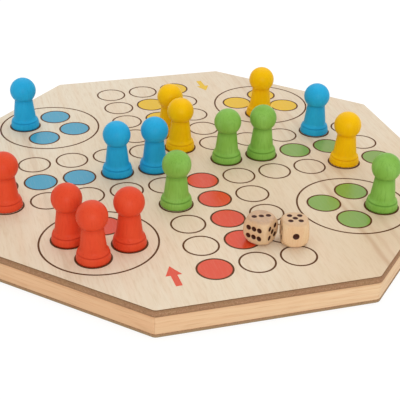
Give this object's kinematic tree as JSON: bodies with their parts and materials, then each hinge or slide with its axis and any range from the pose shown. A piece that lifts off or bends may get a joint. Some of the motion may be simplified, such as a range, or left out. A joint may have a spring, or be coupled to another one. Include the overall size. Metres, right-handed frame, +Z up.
{
  "type": "ludo game",
  "caption": "Eight-sided wooden ludo board built as a shallow closed box, with turned ball-headed pawns in four colours and rounded dice standing on it.",
  "frame": {"origin": "centre of the box's underside, on the surface it rests on", "axes": "+Z up, square to the playing face; -Y towards the red side of the print, +X green, +Y yellow, -X blue; the box's flats are square to X and Y"},
  "size_m": [0.3, 0.3, 0.0516],
  "materials": {
    "fibreboard": "bare pressed fibre, matt",
    "face_veneer": "pale veneer under clear matt lacquer",
    "frame_wood": "planed solid pine, matt",
    "paint_red": "satin lacquer on turned wood",
    "paint_green": "satin lacquer on turned wood",
    "paint_yellow": "satin lacquer on turned wood",
    "paint_blue": "satin lacquer on turned wood",
    "die_wood": "bare beech, smooth sanded, pips stained dark",
    "print_ink": "thin screen-print ink on the veneer"
  },
  "bodies": {
    "board": {"bottom_panel": "fibreboard", "frame_rail_right": "frame_wood", "frame_rail_back_right": "frame_wood", "frame_rail_back": "frame_wood", "frame_rail_back_left": "frame_wood", "frame_rail_left": "frame_wood", "frame_rail_front_left": "frame_wood", "frame_rail_front": "frame_wood", "frame_rail_front_right": "frame_wood", "top_core": "fibreboard", "top_veneer": "face_veneer"},
    "red_pawn_1": {"red_pawn_1": "paint_red"},
    "red_pawn_2": {"red_pawn_2": "paint_red"},
    "red_pawn_3": {"red_pawn_3": "paint_red"},
    "red_pawn_4": {"red_pawn_4": "paint_red"},
    "green_pawn_1": {"green_pawn_1": "paint_green"},
    "green_pawn_2": {"green_pawn_2": "paint_green"},
    "green_pawn_3": {"green_pawn_3": "paint_green"},
    "green_pawn_4": {"green_pawn_4": "paint_green"},
    "yellow_pawn_1": {"yellow_pawn_1": "paint_yellow"},
    "yellow_pawn_2": {"yellow_pawn_2": "paint_yellow"},
    "yellow_pawn_3": {"yellow_pawn_3": "paint_yellow"},
    "yellow_pawn_4": {"yellow_pawn_4": "paint_yellow"},
    "blue_pawn_1": {"blue_pawn_1": "paint_blue"},
    "blue_pawn_2": {"blue_pawn_2": "paint_blue"},
    "blue_pawn_3": {"blue_pawn_3": "paint_blue"},
    "blue_pawn_4": {"blue_pawn_4": "paint_blue"},
    "die_1": {"die_1": "die_wood"},
    "die_2": {"die_2": "die_wood"}
  },
  "joints": [
    {"name": "red_pawn_1_lift", "type": "slide", "parent": "board", "child": "red_pawn_1", "axis": [0, 0, 1], "range_m": [0, 0.06]},
    {"name": "red_pawn_2_lift", "type": "slide", "parent": "board", "child": "red_pawn_2", "axis": [0, 0, 1], "range_m": [0, 0.06]},
    {"name": "red_pawn_3_lift", "type": "slide", "parent": "board", "child": "red_pawn_3", "axis": [0, 0, 1], "range_m": [0, 0.06]},
    {"name": "red_pawn_4_lift", "type": "slide", "parent": "board", "child": "red_pawn_4", "axis": [0, 0, 1], "range_m": [0, 0.06]},
    {"name": "green_pawn_1_lift", "type": "slide", "parent": "board", "child": "green_pawn_1", "axis": [0, 0, 1], "range_m": [0, 0.06]},
    {"name": "green_pawn_2_lift", "type": "slide", "parent": "board", "child": "green_pawn_2", "axis": [0, 0, 1], "range_m": [0, 0.06]},
    {"name": "green_pawn_3_lift", "type": "slide", "parent": "board", "child": "green_pawn_3", "axis": [0, 0, 1], "range_m": [0, 0.06]},
    {"name": "green_pawn_4_lift", "type": "slide", "parent": "board", "child": "green_pawn_4", "axis": [0, 0, 1], "range_m": [0, 0.06]},
    {"name": "yellow_pawn_1_lift", "type": "slide", "parent": "board", "child": "yellow_pawn_1", "axis": [0, 0, 1], "range_m": [0, 0.06]},
    {"name": "yellow_pawn_2_lift", "type": "slide", "parent": "board", "child": "yellow_pawn_2", "axis": [0, 0, 1], "range_m": [0, 0.06]},
    {"name": "yellow_pawn_3_lift", "type": "slide", "parent": "board", "child": "yellow_pawn_3", "axis": [0, 0, 1], "range_m": [0, 0.06]},
    {"name": "yellow_pawn_4_lift", "type": "slide", "parent": "board", "child": "yellow_pawn_4", "axis": [0, 0, 1], "range_m": [0, 0.06]},
    {"name": "blue_pawn_1_lift", "type": "slide", "parent": "board", "child": "blue_pawn_1", "axis": [0, 0, 1], "range_m": [0, 0.06]},
    {"name": "blue_pawn_2_lift", "type": "slide", "parent": "board", "child": "blue_pawn_2", "axis": [0, 0, 1], "range_m": [0, 0.06]},
    {"name": "blue_pawn_3_lift", "type": "slide", "parent": "board", "child": "blue_pawn_3", "axis": [0, 0, 1], "range_m": [0, 0.06]},
    {"name": "blue_pawn_4_lift", "type": "slide", "parent": "board", "child": "blue_pawn_4", "axis": [0, 0, 1], "range_m": [0, 0.06]},
    {"name": "die_1_lift", "type": "slide", "parent": "board", "child": "die_1", "axis": [0, 0, 1], "range_m": [0, 0.06]},
    {"name": "die_2_lift", "type": "slide", "parent": "board", "child": "die_2", "axis": [0, 0, 1], "range_m": [0, 0.06]}
  ]
}
